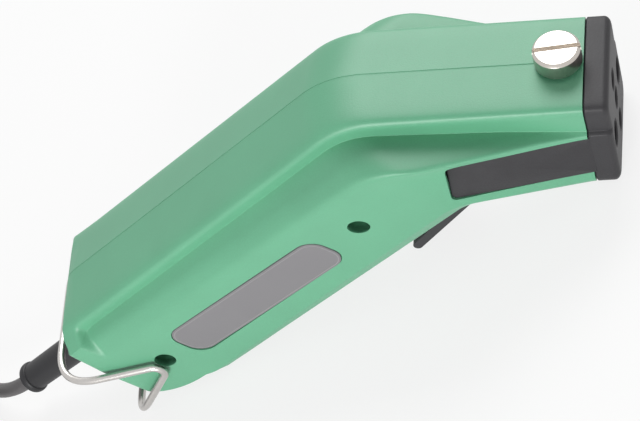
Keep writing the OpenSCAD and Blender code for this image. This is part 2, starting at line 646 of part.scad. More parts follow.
housing_right();
housing_left();
nose_cap();
rating_plate();
housing_screws();
clamp_screw_upper();
clamp_screw_lower();
clamp_pad_upper();
clamp_pad_lower();
electrode_upper();
electrode_lower();
insulator_carrier();
secondary_bars();
transformer_core();
core_bracket();
coil_bobbin();
primary_winding();
thermal_cutout();
terminal_block();
switch_leads();
switch_body();
switch_plunger();
trigger_lever();
trigger_pin();
trigger_spring();
cord_clamp();
cord_clamp_screws();
strain_relief();
hanging_bail();
cord();
cord_coil();
cord_tie();
plug_body();
plug_pins();
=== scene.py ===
import bpy
import bmesh
import numpy as np
from mathutils import Matrix


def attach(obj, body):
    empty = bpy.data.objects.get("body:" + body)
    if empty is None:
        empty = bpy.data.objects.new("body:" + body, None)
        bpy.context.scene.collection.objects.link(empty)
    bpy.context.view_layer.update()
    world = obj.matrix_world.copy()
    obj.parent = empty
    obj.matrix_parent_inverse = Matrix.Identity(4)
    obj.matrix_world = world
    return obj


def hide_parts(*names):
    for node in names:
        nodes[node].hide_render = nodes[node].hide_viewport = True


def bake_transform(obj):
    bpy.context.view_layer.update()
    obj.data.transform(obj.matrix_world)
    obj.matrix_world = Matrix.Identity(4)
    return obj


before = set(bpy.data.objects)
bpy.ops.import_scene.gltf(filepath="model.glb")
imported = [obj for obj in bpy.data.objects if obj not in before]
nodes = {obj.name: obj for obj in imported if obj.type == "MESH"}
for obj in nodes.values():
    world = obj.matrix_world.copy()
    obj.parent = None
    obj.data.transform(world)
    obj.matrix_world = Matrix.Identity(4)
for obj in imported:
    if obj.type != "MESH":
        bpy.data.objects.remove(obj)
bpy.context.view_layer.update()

# View and light
# The tool lies on its nose edge and hanging loop, seen from above its right side through a long lens.
# A large soft lamp above, a weaker one beside the flank and pale surroundings light it.
scene = bpy.context.scene
scene.view_settings.view_transform = "Standard"


def unit(vectors):
    """Each vector divided by its own length."""
    vectors = np.asarray(vectors, float)
    return vectors / np.linalg.norm(vectors, axis=-1, keepdims=True)


def stand(holder, side, up, back, spot):
    """Puts a camera or lamp at a spot in metres, with its X, Y and Z along side, up and back."""
    place = np.eye(4)
    place[:3] = np.stack([side, up, back, spot], -1)
    holder.matrix_world = Matrix(place.tolist())
    scene.collection.objects.link(holder)


across = unit((0.75410, 0.06450, -0.65390))
upward = np.array([0.35350, 0.79870, 0.48640])
upward = unit(upward - across * (upward @ across))
lens = bpy.data.cameras.new("lens")
lens.lens = 225
lens.sensor_width = 36
lens.sensor_fit = "HORIZONTAL"
lens.clip_end = 50
camera = bpy.data.objects.new("camera", lens)
stand(camera, across, upward, np.cross(across, upward), (0.8474, -0.8996, 0.9024))
scene.camera = camera


def lamp(name, direction, distance, size, watts):
    """A square lamp at a distance in a direction from the tool's middle, facing it."""
    tool_middle = np.array((0.02, 0, 0.04))
    back = unit(direction)
    side = unit(np.cross((0, 0, 1), back))
    light = bpy.data.lights.new(name, "AREA")
    light.size = size
    light.energy = watts
    holder = bpy.data.objects.new(name, light)
    stand(holder, side, np.cross(back, side), back, back * distance + tool_middle)


lamp("over", (0.25, 0.7, 0.67), 1.8, 1.2, 27)
lamp("side", (-0.05, -0.98, 0.2), 1.6, 0.6, 21)


def shader_of(material):
    """The material's node tree and its main shader."""
    material.use_nodes = True
    return material.node_tree, material.node_tree.nodes["Principled BSDF"]


def larger(tree, first, second):
    """The larger of two outputs, as an output."""
    pick = tree.nodes.new("ShaderNodeMath")
    pick.operation = "MAXIMUM"
    tree.links.new(first, pick.inputs[0])
    tree.links.new(second, pick.inputs[1])
    return pick.outputs[0]


world = bpy.data.worlds.new("pale_room")
world.use_nodes = True
scene.world = world
tree = world.node_tree
room = tree.nodes["Background"]
room.inputs["Color"].default_value = (1, 1, 1, 1)
ray = tree.nodes.new("ShaderNodeLightPath")
seen = larger(tree, ray.outputs["Is Camera Ray"], ray.outputs["Is Transmission Ray"])
level = tree.nodes.new("ShaderNodeMapRange")
level.inputs["To Min"].default_value = 0.28
level.inputs["To Max"].default_value = 1.0
tree.links.new(larger(tree, seen, ray.outputs["Is Glossy Ray"]), level.inputs["Value"])
tree.links.new(level.outputs["Result"], room.inputs["Strength"])

floor_mesh = bpy.data.meshes.new("floor")
floor_mesh.from_pydata([(-4, -4, 0), (4, -4, 0), (4, 4, 0), (-4, 4, 0)], [], [(0, 1, 2, 3)])
floor = bpy.data.objects.new("floor", floor_mesh)
scene.collection.objects.link(floor)
paper = bpy.data.materials.new("pale_paper")
tree, shader = shader_of(paper)
shader.inputs["Base Color"].default_value = (0.9, 0.9, 0.9, 1)
shader.inputs["Roughness"].default_value = 0.9
glow = tree.nodes.new("ShaderNodeEmission")
glow.inputs["Color"].default_value = (1, 1, 1, 1)
ray = tree.nodes.new("ShaderNodeLightPath")
share = tree.nodes.new("ShaderNodeMath")
share.operation = "MULTIPLY"
share.inputs[1].default_value = 0.8
tree.links.new(larger(tree, ray.outputs["Is Camera Ray"], ray.outputs["Is Glossy Ray"]), share.inputs[0])
lit_paper = tree.nodes.new("ShaderNodeMixShader")
tree.links.new(share.outputs[0], lit_paper.inputs["Fac"])
tree.links.new(shader.outputs[0], lit_paper.inputs[1])
tree.links.new(glow.outputs[0], lit_paper.inputs[2])
tree.links.new(lit_paper.outputs[0], tree.nodes["Material Output"].inputs["Surface"])
floor_mesh.materials.append(paper)

# Mains cord
# A round two-core lead in dark grey rubber, about 2.8 m long, out of the sleeve and down to the floor.
# The length that is put away lies in a flat round coil of four layers, and the tail runs to the plug.
PITCH = np.radians(30.74901)
BEND = np.radians(41.5)
SPINE_X, SPINE_Z = 72.1566, 87.9616


def rest(x, y, z):
    """Nose frame in mm to the resting frame: a turn about Y by the pitch, then the shift to the floor."""
    x, y, z = np.broadcast_arrays(np.asarray(x, float), y, z)
    return np.stack([x * np.cos(PITCH) + z * np.sin(PITCH) + SPINE_X, y,
                     -x * np.sin(PITCH) + z * np.cos(PITCH) + SPINE_Z], -1)


def gripped(t, y, d):
    """Grip frame in mm, t back and d down from the spine corner, to the resting frame."""
    t, d = np.asarray(t, float), np.asarray(d, float)
    return rest(-np.cos(BEND) * t + np.sin(BEND) * d, y, -np.sin(BEND) * t - np.cos(BEND) * d)


def spline(points, steps):
    """A smooth line through points: on each span a cubic whose end slopes are half the neighbours' chord."""
    p = np.asarray(points, float)
    e = np.concatenate([[2 * p[0] - p[1]], p, [2 * p[-1] - p[-2]]])
    k = np.linspace(0, 1, steps, endpoint=False)[None, :, None]
    a, b, c, d = (e[i:len(e) - 3 + i, None, :] for i in range(4))
    line = 0.5 * (2 * b + (c - a) * k + (2 * a - 5 * b + 4 * c - d) * k ** 2
                  + (3 * b - a - 3 * c + d) * k ** 3)
    return np.concatenate([line.reshape(-1, 3), p[-1:]])


def lattice(nu, nv, wrap_u=False, wrap_v=False):
    """Quads of a grid of nu by nv points, closed on itself where asked."""
    i = np.arange(nu if wrap_u else nu - 1)[:, None]
    j = np.arange(nv if wrap_v else nv - 1)[None, :]
    a, b = i * nv + j, i * nv + (j + 1) % nv
    c, d = (i + 1) % nu * nv + (j + 1) % nv, (i + 1) % nu * nv + j
    return np.stack([a, b, c, d], -1).reshape(-1, 4)


def smooth(mesh, angle):
    """Shades a mesh smooth, apart from the edges that turn by more than the angle in degrees."""
    mesh.shade_smooth()
    mesh.set_sharp_from_angle(angle=np.radians(angle))


def piece(name, points, quads, angle=35):
    """A mesh object from points in mm: doubles merged, faces outward, smooth below the angle."""
    mesh = bpy.data.meshes.new(name)
    mesh.from_pydata((np.asarray(points).reshape(-1, 3) * 0.001).tolist(), [], np.asarray(quads).tolist())
    bm = bmesh.new()
    bm.from_mesh(mesh)
    bmesh.ops.remove_doubles(bm, verts=bm.verts, dist=2e-6)
    bmesh.ops.dissolve_degenerate(bm, edges=bm.edges, dist=1e-6)
    bmesh.ops.recalc_face_normals(bm, faces=bm.faces)
    bm.to_mesh(mesh)
    bm.free()
    smooth(mesh, angle)
    made = bpy.data.objects.new(name, mesh)
    scene.collection.objects.link(made)
    return made


def joined(parts):
    """Several (points, quads) pairs as one pair."""
    points = [np.asarray(p).reshape(-1, 3) for p, _ in parts]
    starts = np.cumsum([0] + [len(p) for p in points])
    return np.concatenate(points), np.concatenate([np.asarray(q) + n for (_, q), n in zip(parts, starts)])


def spokes(first, second, sides):
    """Unit vectors round a full circle: first times cos a plus second times sin a."""
    a = np.linspace(0, 2 * np.pi, sides, endpoint=False)[:, None]
    return first[..., None, :] * np.cos(a) + second[..., None, :] * np.sin(a)


def round_bar(line, radius, sides, ref, closed=False):
    """A round bar: at each point of the line a circle square to it, turned against ref.

    An open bar's ends are drawn to a point.
    """
    line = np.asarray(line, float)
    along = unit(np.roll(line, -1, 0) - np.roll(line, 1, 0) if closed else np.gradient(line, axis=0))
    side = unit(np.cross(along, np.asarray(ref, float)))
    ring = line[:, None] + radius * spokes(side, np.cross(side, along), sides)
    if closed:
        return ring, lattice(len(line), sides, True, True)
    tips = np.repeat(line[[0, -1], None], sides, 1)
    return np.concatenate([tips[:1], ring, tips[1:]]), lattice(len(line) + 2, sides, False, True)


def turned(profile, origin, axis, sides=64):
    """A turned solid: (radius, height) pairs carried round an axis that starts at origin."""
    profile, axis = np.asarray(profile, float), unit(axis)
    side = unit(np.cross(axis, (0, 1, 0) if abs(axis[1]) < 0.9 else (1, 0, 0)))
    out = spokes(side, np.cross(axis, side), sides)
    ring = np.asarray(origin, float) + profile[:, :1, None] * out + profile[:, 1:, None] * axis
    return ring, lattice(len(profile), sides, False, True)


def finish(name, colour, rough, metal=0.0, vary=0.06, patch=60, grain=1500, depth=0.00002,
           spec=0.5, swing=0.06):
    """A finish: colour that drifts in soft patches, and a fine grain that moves roughness and relief."""
    material = bpy.data.materials.new(name)
    tree, shader = shader_of(material)
    make, link = tree.nodes.new, tree.links.new
    where = make("ShaderNodeTexCoord")
    cloud = make("ShaderNodeTexNoise")
    cloud.inputs["Scale"].default_value = patch
    cloud.inputs["Detail"].default_value = 4
    link(where.outputs["Object"], cloud.inputs["Vector"])
    tint = make("ShaderNodeValToRGB")
    darker, lighter = tint.color_ramp.elements
    darker.position, lighter.position = 0.3, 0.7
    darker.color = (*(np.array(colour) * (1 - vary)), 1)
    lighter.color = (*(np.array(colour) * (1 + vary)), 1)
    fine = make("ShaderNodeTexNoise")
    fine.inputs["Scale"].default_value = grain
    fine.inputs["Detail"].default_value = 3
    link(where.outputs["Object"], fine.inputs["Vector"])
    speck = make("ShaderNodeMix")
    speck.inputs["Factor"].default_value = 0.5
    link(cloud.outputs["Fac"], speck.inputs["A"])
    link(fine.outputs["Fac"], speck.inputs["B"])
    link(speck.outputs["Result"], tint.inputs["Fac"])
    link(tint.outputs["Color"], shader.inputs["Base Color"])
    span = make("ShaderNodeMapRange")
    span.inputs["To Min"].default_value = rough - swing
    span.inputs["To Max"].default_value = rough + swing
    link(fine.outputs["Fac"], span.inputs["Value"])
    link(span.outputs["Result"], shader.inputs["Roughness"])
    relief = make("ShaderNodeBump")
    relief.inputs["Strength"].default_value = 0.6
    relief.inputs["Distance"].default_value = depth
    link(fine.outputs["Fac"], relief.inputs["Height"])
    link(relief.outputs["Normal"], shader.inputs["Normal"])
    shader.inputs["Metallic"].default_value = metal
    shader.inputs["Specular IOR Level"].default_value = spec
    return material


def fit(made, material, body, slot, *stands_for):
    """Gives a piece its finish and body, and hides the nodes that it stands for; the slot is not used."""
    made.data.materials.clear()
    made.data.materials.append(material)
    made.data.polygons.foreach_set("material_index", np.zeros(len(made.data.polygons), np.int32))
    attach(made, body)
    if stands_for:
        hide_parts(*stands_for)


def eased(k):
    """A smooth step from 0 to 1: k^2 (3 - 2k)."""
    return k * k * (3 - 2 * k)


sleeve_depth, sleeve_end = 30.6, 236
cord_radius = 3.0
coil_x, coil_y, lowest_layer = -256, -10.8, 4.3
outer_turn, cord_pitch = 44.4, 7.5
flat_turns, climb_turns = 2.625, 0.5
all_turns, turn_points = 12, 24
turns = np.arange(0, turn_points * all_turns + 1) / turn_points
layer = np.floor(turns / (flat_turns + climb_turns))
in_layer = turns - layer * (flat_turns + climb_turns)
wound = np.minimum(in_layer, flat_turns)
climb = np.maximum(0, in_layer - flat_turns) / climb_turns
coil_radius = outer_turn - cord_pitch * np.where(layer % 2 == 0, wound, flat_turns - wound)
heading = np.radians(90 + 360 * turns)
coil = np.stack([coil_x + coil_radius * np.cos(heading), coil_y + coil_radius * np.sin(heading),
                 lowest_layer + cord_pitch * (layer + eased(climb))], -1)
run_out = np.array([[-162, 0.5, 12.4], [-170, 2.7, 10.9], [-178, 6.6, 9.4], [-186, 12.3, 8],
                    [-194, 19.6, 6.8], [-202, 25.7, 5.8], [-210, 30.1, 5.1], [-218, 32.7, 4.6],
                    [-226, 33.6, 4.4], [-234, 33.6, 4.3], [-248, 33.6, 4.3]])
tail = np.array([[-268, 33.6, 26.2], [-278, 33.4, 25.2], [-288, 32.6, 22.4], [-298, 31, 18.4],
                 [-308, 28.6, 14], [-317, 25.8, 10.4], [-325, 23.6, 8.4], [-331, 22.4, 7.4],
                 [-336, 22, 7.2]])
lead_in = gripped([sleeve_end - 2, sleeve_end], 0, sleeve_depth)
route = spline(np.concatenate([lead_in, run_out, coil, tail]), 3)
cord = piece("cord_run", *round_bar(route, cord_radius, 14, (0, 0, 1)))
rubber = finish("grey_rubber", (0.08, 0.076, 0.078), 0.5, vary=0.1, patch=90, grain=900, depth=0.00003)
fit(cord, rubber, "housing", "black_rubber", "cord", "cord_coil")

# Cord tie
# A black nylon strap, just under 8 mm wide, closed round the coil to hold its turns.


def parabola(start, corner, end, k):
    """A bow from start to end that the corner pulls: start (1-k)^2 + 2 corner k (1-k) + end k^2."""
    return start * (1 - k) ** 2 + corner * 2 * k * (1 - k) + end * k ** 2


def rounded(corners, radius, steps):
    """A closed outline with each corner replaced by a parabola of that reach."""
    c = np.asarray(corners, float)
    start = c + unit(np.roll(c, 1, 0) - c) * radius
    end = c + unit(np.roll(c, -1, 0) - c) * radius
    k = np.linspace(0, 1, steps)[None, :, None]
    return parabola(start[:, None], c[:, None], end[:, None], k).reshape(-1, c.shape[1])


strap_half, strap_thick, strap_gap = 3.8, 0.9, 3.6
strap_in = outer_turn - cord_pitch * flat_turns - 4
strap_out = outer_turn + strap_gap
strap_low, strap_high = 1, lowest_layer + 3 * cord_pitch + strap_gap
rim = np.array([[strap_in, strap_low], [strap_out, strap_low], [strap_out, strap_high], [strap_in, strap_high]])
inner_rim = rounded(rim, 2.5, 8)
outer_rim = rounded(rim + strap_thick * np.array([[-1, -1], [1, -1], [1, 1], [-1, 1]]), 3.2, 8)
band = np.stack([np.stack([edge[:, 0], np.full(len(edge), w), edge[:, 1]], -1)
                 for edge, w in ((inner_rim, -strap_half), (outer_rim, -strap_half),
                                 (outer_rim, strap_half), (inner_rim, strap_half))], 1)
band = band * (-1, -1, 1) + (coil_x, coil_y, 0)
tie = piece("cord_strap", band, lattice(len(band), 4, True, True))
nylon = finish("black_nylon", (0.02, 0.02, 0.022), 0.45, grain=700)
fit(tie, nylon, "housing", "black_plastic", "cord_tie")

# Plug
# A flat two-pin plug moulded on the lead in the same rubber, with a ribbed waist for the fingers.
# Its pins are nickel-plated brass with rounded tips, moulded in.
plug_back, plug_y, plug_z, plug_length = -336.3, 22, 7.2, 34
plug_front = plug_back - plug_length
plug_sides = 64
u = np.linspace(0, 1, 60)
end = np.sqrt(np.maximum(0, 1 - ((np.minimum(u, 1 - u) * plug_length / 3.0).clip(0, 1) - 1) ** 2))
waist = 1 - 0.12 * np.exp(-((u - 0.36) / 0.2) ** 2) - 0.10 * np.clip(1 - u / 0.3, 0, 1) ** 2
rib_wave = 0.5 + 0.5 * np.cos((u - 0.36) * plug_length / 2.6 * 2 * np.pi)
ribs = 1 - 0.02 * (np.abs(u - 0.36) < 0.17) * rib_wave
wide = (0.82 + 0.18 * end) * waist * ribs
thick = (0.72 + 0.28 * end) * (1 - 0.10 * np.clip(1 - u / 0.25, 0, 1) ** 2) * ribs
a = np.linspace(0, 2 * np.pi, plug_sides, endpoint=False)
oval_y = 7 * np.sign(np.cos(a)) * np.minimum(1, np.abs(np.cos(a)) * 1.6) + 6.8 * np.cos(a)
oval_z = 6.8 * np.sign(np.sin(a)) * np.abs(np.sin(a)) ** 0.8
hull = np.stack([np.broadcast_to(plug_back - plug_length * u[:, None], (len(u), plug_sides)),
                 plug_y + wide[:, None] * oval_y, plug_z + thick[:, None] * oval_z], -1)
hull_ends = [np.repeat([[(x, plug_y, plug_z)]], plug_sides, 1) for x in (plug_back, plug_front)]
hull = np.concatenate([hull_ends[0], hull, hull_ends[1]])
plug = piece("plug_moulding", hull, lattice(len(hull), plug_sides, False, True), 50)
fit(plug, rubber, "housing", "black_rubber", "plug_body")
pin_radius, pin_length, pin_offset = 1.95, 19, 9.3
k = np.linspace(0, np.pi / 2, 8)
tip = np.stack([pin_radius * np.cos(k), pin_length - pin_radius + pin_radius * np.sin(k)], -1)
pin = np.concatenate([[[0, 0], [pin_radius, 0]], tip])
pins = piece("plug_contacts", *joined([turned(pin, (plug_front, plug_y + y, plug_z), (-1, 0, 0), 32)
                                       for y in (-pin_offset, pin_offset)]))
plated = finish("nickel_contacts", (0.66, 0.63, 0.57), 0.25, metal=1.0, grain=1200, depth=0.000004)
fit(pins, plated, "housing", "nickel", "plug_pins")

# Cord sleeve
# A tapered rubber sleeve held in the rear wall by its collar, with a bead at its mouth.
k = np.linspace(0, np.pi, 12)
bead = np.stack([5.75 + 0.8 * np.sin(k), 233.9 - 1.7 * np.cos(k)], -1)
sleeve = np.concatenate([[[3.2, 169], [8, 169], [8, 172.2], [6, 172.2], [6, 176.4], [6.4, 176.5],
                          [6.6, 176.9], [6.55, 178], [6.4, 180], [6.05, 205], [5.75, 231.6]], bead,
                         [[5.6, 235.8], [5.2, 236], [3.2, 236], [3.1, 235.4], [3.1, 170], [3.2, 169]]])
sleeve_line = gripped([0.0, 1.0], 0, sleeve_depth)
boot = piece("cord_sleeve", *turned(sleeve, sleeve_line[0], sleeve_line[1] - sleeve_line[0], 64), 40)
soft_black = finish("black_sleeve", (0.014, 0.014, 0.016), 0.5, vary=0.1, patch=90, grain=900,
                    depth=0.00003, spec=0.4)
fit(boot, soft_black, "housing", "black_rubber", "strain_relief")

# Housing halves
# Two mirrored shells moulded in light green glass-filled nylon and screwed together on the middle plane.
# The roof steps down over a crease to a ramp that swells out over flat flanks.
# The grip turns down from the nose by 41.5 degrees.
grip_end, nose_front = 176, 89.3
rear_station, bend_station, front_station = -100, 14, 90

# Rails run spine to belly: corner x and z, rear depth, front z and rounding reach.
rails = np.array([
    [-4.6, 0, 0, 0, 14], [-1.9, -0.3, 2, -0.3, 14], [-0.9, -0.9, 3.1, -0.9, 14],
    [-0.4, -3.2, 5.2, -3.2, 13], [0.6, -9.6, 9.8, -13.8, 12], [8.5, -9.9, 12.6, -14.4, 12],
    [13.5, -10.6, 21, -15, 12], [20.7, -16.4, 27, -16.4, 12], [37, -39.7, 58.5, -40.4, 7],
    [43.5, -43.3, 61, -43.4, 6], [45.5, -44, 62, -44, 5]])

# Each rail's half width at stations along the length, from the rear to the front edge.
widths = [
    [[-176, 0], [90, 0]],
    [[-176, 17.4], [-165, 17.2], [-150, 17], [-14, 17], [14, 17.6], [90, 18.2]],
    [[-176, 22.6], [-167, 22], [-155, 21.6], [-14, 21.4], [0, 21.2], [14, 21.2], [90, 21.4]],
    [[-176, 24.4], [-167, 24.2], [-160, 23.9], [-14, 23.8], [0, 23], [14, 22.4], [90, 22.1]],
    [[-176, 30], [-166.6, 29.8], [-164.4, 23.4], [-160, 22.6], [-14, 22], [0, 21], [14, 20.3],
     [60, 20.2], [90, 21.2]],
    [[-176, 30.2], [-166.6, 30], [-164.4, 26.9], [-60, 28.5], [-14, 31.3], [0, 32], [14, 31.6],
     [30, 30.4], [60, 24.6], [80, 22], [90, 22.1]],
    [[-176, 30.2], [-120, 31.8], [-60, 33.8], [-14, 36.8], [0, 38], [14, 38.1], [26, 36], [50, 30.8],
     [70, 25.8], [90, 22.4]],
    [[-176, 30.4], [-120, 31.9], [-60, 33.6], [-14, 36], [0, 36.4], [14, 34.6], [28, 31.3], [90, 22.5]],
    [[-176, 29], [-100, 29.8], [-50, 31], [-14, 32.4], [0, 32], [14, 30.8], [90, 22.3]],
    [[-176, 26], [-130, 27], [-50, 27.6], [0, 27.6], [14, 27], [90, 20.8]],
    [[-176, 0], [90, 0]]]

# How far each rail's edge is softened across the section.
reach = [0, 6, 1.5, 2.2, 0.25, 2.6, 3.2, 3.6, 0.9, 2.4, 0]
back = np.array([-np.cos(BEND), -np.sin(BEND)])
down = np.array([np.sin(BEND), -np.cos(BEND)])


def arc_fall(run):
    """Height of a quarter circle at a share of its run: sqrt(1 - run^2)."""
    return np.sqrt(np.maximum(0, 1 - run ** 2))


def rail_line(i, q):
    """Side-view line of rail i at stations q: straight, a parabola round the corner, straight.

    Toward the rear it stays below the rounded end of the roof and above the rounded heel.
    """
    x, z, rear_depth, front_z, rounding = rails[i]
    corner, front = np.array([x, z]), np.array([nose_front, front_z])
    rear = back * grip_end + down * rear_depth
    into = corner + unit(rear - corner) * rounding
    away = corner + unit(front - corner) * rounding
    q = q[:, None]
    bow = parabola(into, corner, away, (q + bend_station) / (2 * bend_station))
    grip_run = rear + (into - rear) * (q + grip_end) / (grip_end - bend_station)
    nose_run = away + (front - away) * (q - bend_station) / (front_station - bend_station)
    line = np.where(q < -bend_station, grip_run, np.where(q > bend_station, nose_run, bow))
    t, d = line @ back, line @ down
    roof_end, roof_drop = 162, 12
    crown = roof_drop * (1 - arc_fall((t - roof_end) / (grip_end - roof_end))) - 0.3
    crown = np.where(t < roof_end, -90, crown)
    heel_start, heel_turn, belly, heel_lift = 136, 150, 62, 5.5
    heel_top, heel_drop = 42, 14.5
    eased_heel = belly - heel_lift * eased((t - heel_start) / (heel_turn - heel_start))
    round_heel = heel_top + heel_drop * arc_fall((t - heel_turn) / (grip_end - heel_turn))
    heel = np.where(t < heel_start, 90, np.where(t < heel_turn, eased_heel, round_heel))
    held = np.minimum(np.maximum(d, crown), heel)
    return np.where(q > rear_station, line, t[:, None] * back + held[:, None] * down), t


def half_width(i, q, t):
    """Half width of rail i: its table, softened along the length, less the rounding of the rear edge."""
    table = np.array(widths[i], float)
    w = np.linspace(-2.2, 2.2, 11)
    soft = np.where(q < -150, 0.5, 4.0)
    g = np.exp(-w ** 2 / 2)
    value = np.interp(q[:, None] + w * soft[:, None], table[:, 0], table[:, 1]) @ (g / g.sum())
    rear_round = 3
    past = t - (grip_end - rear_round)
    edge = np.where(past < 0, 0, rear_round * (1 - arc_fall(past / rear_round)))
    return np.maximum(0, value - np.where(q > rear_station, 0, edge))


def section_rings(q, groove=0.2):
    """Outline of the right half at each station: the rails with soft corners, and a fine step at the seam."""
    raw = []
    for i in range(len(rails)):
        line, t = rail_line(i, q)
        raw.append(np.stack([line[:, 0], -half_width(i, q, t), line[:, 1]], -1))
    raw = np.stack(raw, 1)
    top, low = raw[:, 0], raw[:, -1]
    step = unit(low - top) * groove
    from_top, from_low = unit(raw[:, 1] - top), unit(raw[:, -2] - low)
    k = np.linspace(0, 1, 7)[None, :, None]
    columns = [top + step, top + from_top * 0.12 + step, top + from_top * 0.4]
    for i in range(1, len(rails) - 1):
        p = raw[:, i]
        ends = []
        for other in (raw[:, i - 1], raw[:, i + 1]):
            span = np.linalg.norm(other - p, axis=1, keepdims=True)
            ends.append(p + (other - p) * np.minimum(reach[i] / np.maximum(span, 1e-6), 0.46))
        columns += list(np.moveaxis(parabola(ends[0][:, None], p[:, None], ends[1][:, None], k), 1, 0))
    columns += [low + from_low * 0.4, low + from_low * 0.12 - step, low - step]
    return np.stack(columns, 1)


def lining_rings(q, count):
    """Inner wall: every second rail moved in by the wall, filled out to the outline's number of columns."""
    roof_wall, side_wall = 2.5, 3.2
    moves = [[0, 1, 0], [2, 1, 0.9], [4, 1.05, 1], [6, 0.7, 1], [8, -0.6, 1], [10, -1, 0]]
    inward = unit(rail_line(10, q)[0] - rail_line(0, q)[0])
    inward = np.where(q[:, None] > 89, (0, -1), inward)
    rows = []
    for i, drop, narrow in moves:
        line, t = rail_line(i, q)
        line = line + inward * drop * roof_wall
        width = np.maximum(0, half_width(i, q, t) - narrow * side_wall)
        rows.append(np.stack([line[:, 0], -width, line[:, 1]], -1))
    rows = np.stack(rows, 1)
    at = np.linspace(0, len(moves) - 1, count)
    below = np.minimum(np.floor(at).astype(int), len(moves) - 2)
    part = (at - below)[None, :, None]
    return rows[:, below] * (1 - part) + rows[:, below + 1] * part


q = np.unique(np.concatenate([
    np.linspace(-176, -150, 45), np.linspace(-150, -100, 26), np.linspace(-100, -24, 26),
    np.linspace(-24, 30, 46), np.linspace(30, 90, 26)]))
outer = section_rings(q)
count = outer.shape[1]
inside = lining_rings(np.interp(q, [-176, -160, 90], [-172.5, -160, 90]), count)
narrowing = np.array([[1, part, 1] for part in (0, 0.3, 0.65)])[:, None]
closing, closing_in = outer[:1] * narrowing, inside[:1] * narrowing
half = np.concatenate([closing, outer, inside[::-1], closing_in[::-1]])
out_row = len(narrowing) + np.arange(len(q))
in_row = len(half) - 1 - out_row
strips = np.concatenate([
    np.stack([out_row[:-1], out_row[1:], in_row[1:], in_row[:-1]], -1) * count + c for c in (0, count - 1)])
half_points = rest(*np.moveaxis(half, -1, 0)).reshape(-1, 3)
half_faces = np.concatenate([lattice(len(half), count, True, False), strips])


def slab(low, high, move):
    """A box between two corners, carried into the resting frame by move."""
    low, high = np.array(low, float), np.array(high, float)
    ends = np.array([[x, y, z] for x in (0, 1) for y in (0, 1) for z in (0, 1)], float)
    faces = [[0, 1, 3, 2], [4, 6, 7, 5], [0, 4, 5, 1], [2, 3, 7, 6], [0, 2, 6, 4], [1, 5, 7, 3]]
    return move(*(low + ends * (high - low)).T), np.array(faces)


def rod(radius, start, end):
    """Profile of a plain rod between two heights."""
    return [[0, start], [radius, start], [radius, end], [0, end]]


def drum(t, d, profile, sides=48):
    """A turned cutter across the grip at t back and d down; heights are Y."""
    return turned(profile, gripped(t, 0, d), (0, 1, 0), sides)


def nose_drum(x, z, radius, top):
    """A round cutter square to the nose's roof, from z up to top."""
    foot, head = rest(x, 0, z), rest(x, 0, top)
    return turned(rod(radius, 0, top - z), foot, head - foot, 48)


def plate_frame(u, v, w):
    """Plate frame on the right flank, u forward, v up, w outward, to the resting frame."""
    tilt, swing = np.radians(5.3), np.radians(-1.7)
    x, y, z = u, -w, v
    y, z = y * np.cos(tilt) - z * np.sin(tilt), y * np.sin(tilt) + z * np.cos(tilt)
    x, y = x * np.cos(swing) - y * np.sin(swing), x * np.sin(swing) + y * np.cos(swing)
    return gripped(92.25 - x, y - 31.6, 36.9 - z)


def plate_ring(inset):
    """Outline of the plate: a rectangle of 89.5 by 18.6 with corners of 7, moved in by inset."""
    a = np.linspace(0, np.pi / 2, 13)
    half_u, half_v = 44.75 - inset, max(9.3 - inset, 0.0)
    r = min(max(7 - inset, 0.0), half_v)
    quarter = np.stack([half_u - r + r * np.cos(a), half_v - r + r * np.sin(a)], -1)
    return np.concatenate([quarter, (quarter * (-1, 1))[::-1], quarter * (-1, -1), (quarter * (1, -1))[::-1]])


def plate_stack(rings):
    """Rings of (inset, height) stacked into a skin."""
    rows = []
    for inset, height in rings:
        ring = plate_ring(inset)
        rows.append(plate_frame(ring[:, 0], ring[:, 1], np.full(len(ring), height)))
    return np.stack(rows), lattice(len(rings), len(rows[0]), False, True)


def cut(body, cutters, angle):
    """Takes the cutters off the body in one step, and shades it smooth below the angle again."""
    tool = piece("tool", *joined(cutters))
    step = body.modifiers.new("cut", "BOOLEAN")
    step.operation = "DIFFERENCE"
    step.solver = "MANIFOLD"
    step.object = tool
    bpy.context.view_layer.objects.active = body
    bpy.ops.object.modifier_apply(modifier=step.name)
    bpy.data.objects.remove(tool)
    smooth(body.data, angle)


def flank(x):
    """Half width of the nose at the arms: 22.5 at the front edge, 0.142 more for each mm back."""
    return 22.5 + 0.142 * (nose_front - x)


def arm_block(side, front, grow, deep, out, soft):
    """A block along the nose's flank: an outline rounded behind, carried from below the flank to beyond it.

    The outer face leans out toward the belly with the flank, and soft eases its edge.
    """
    arm_back, arm_low, arm_high = 38.2, -35.5, -16.4
    base = np.array([[arm_back - grow, arm_low - grow], [front, arm_low - grow],
                     [front, arm_high + grow], [arm_back - grow, arm_high + grow]])
    inward = np.array([[1, 1], [-1, 1], [-1, -1], [1, -1]])
    rounding = np.array([[2.8], [0.2], [0.2], [2.4]])
    rows = []
    for height, inset in ((-deep, 0), (out - soft, 0), (out - soft * 0.35, soft * 0.3), (out, soft)):
        x, z = rounded(base + inward * inset, rounding, 9).T
        backward = (nose_front - x) / (nose_front - arm_back)
        lean = (0.3 + 1.3 * backward) * (arm_high - z) / (arm_high - arm_low) * (height > -1)
        rows.append(np.stack([x, side * (flank(x) + height + lean), z], -1))
    ends = [np.broadcast_to(row.mean(0), row.shape) for row in (rows[0], rows[-1])]
    rows = np.stack([ends[0]] + rows + [ends[1]])
    return rest(*np.moveaxis(rows, -1, 0)), lattice(len(rows), rows.shape[1], False, True)


